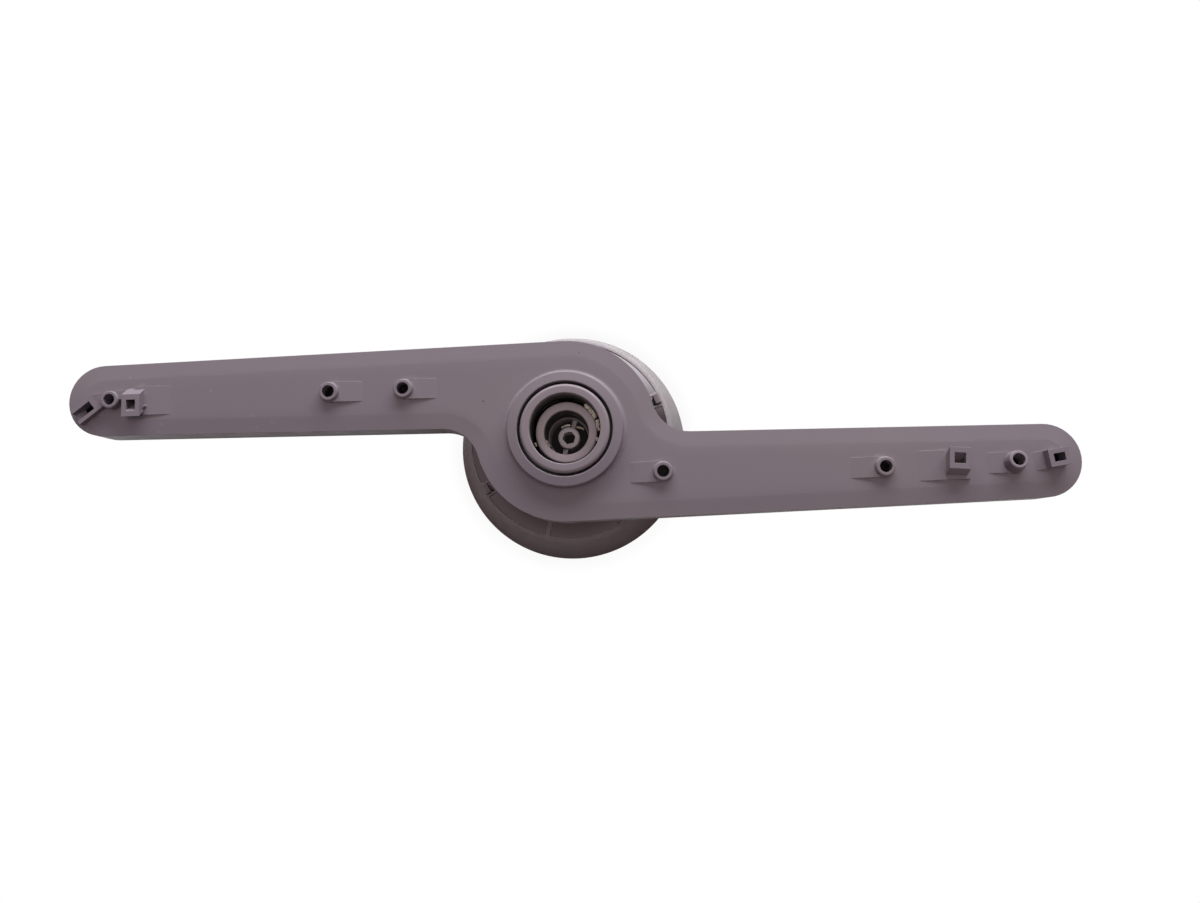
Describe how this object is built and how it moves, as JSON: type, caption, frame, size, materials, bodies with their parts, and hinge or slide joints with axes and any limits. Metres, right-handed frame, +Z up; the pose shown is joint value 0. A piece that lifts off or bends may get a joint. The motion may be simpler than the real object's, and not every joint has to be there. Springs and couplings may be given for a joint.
{
  "type": "dishwasher spray arm",
  "caption": "Z-shaped hollow spray arm with round and slanted square nozzles, turning on a fixed hub with a slotted bell, an inlet socket and a riser socket",
  "frame": {"origin": "on the spin axis in the plane of the bell's rim, which is the bottom centre of the bounding box", "axes": "+Z up the spin axis to the nozzles, +X along the two arms, the left arm at -X lies on the +Y side"},
  "size_m": [0.46, 0.1162, 0.0679],
  "materials": {
    "arm_plastic": "satin moulded",
    "hub_plastic": "satin moulded",
    "slide_plastic": "smooth",
    "seal_rubber": "matt"
  },
  "bodies": {
    "hub": {"hub_stem": "hub_plastic", "bell_skirt": "hub_plastic", "riser_tube": "hub_plastic", "lock_ring": "hub_plastic", "lower_slide_ring": "slide_plastic", "upper_slide_ring": "slide_plastic", "inlet_gasket": "seal_rubber"},
    "arm": {"arm_top_shell": "arm_plastic", "arm_bottom_shell": "arm_plastic"}
  },
  "joints": [
    {"name": "arm_spin", "type": "hinge", "parent": "hub", "child": "arm", "pos_m": [0, 0, 0.05], "axis": [0, 0, 1], "continuous": true}
  ]
}
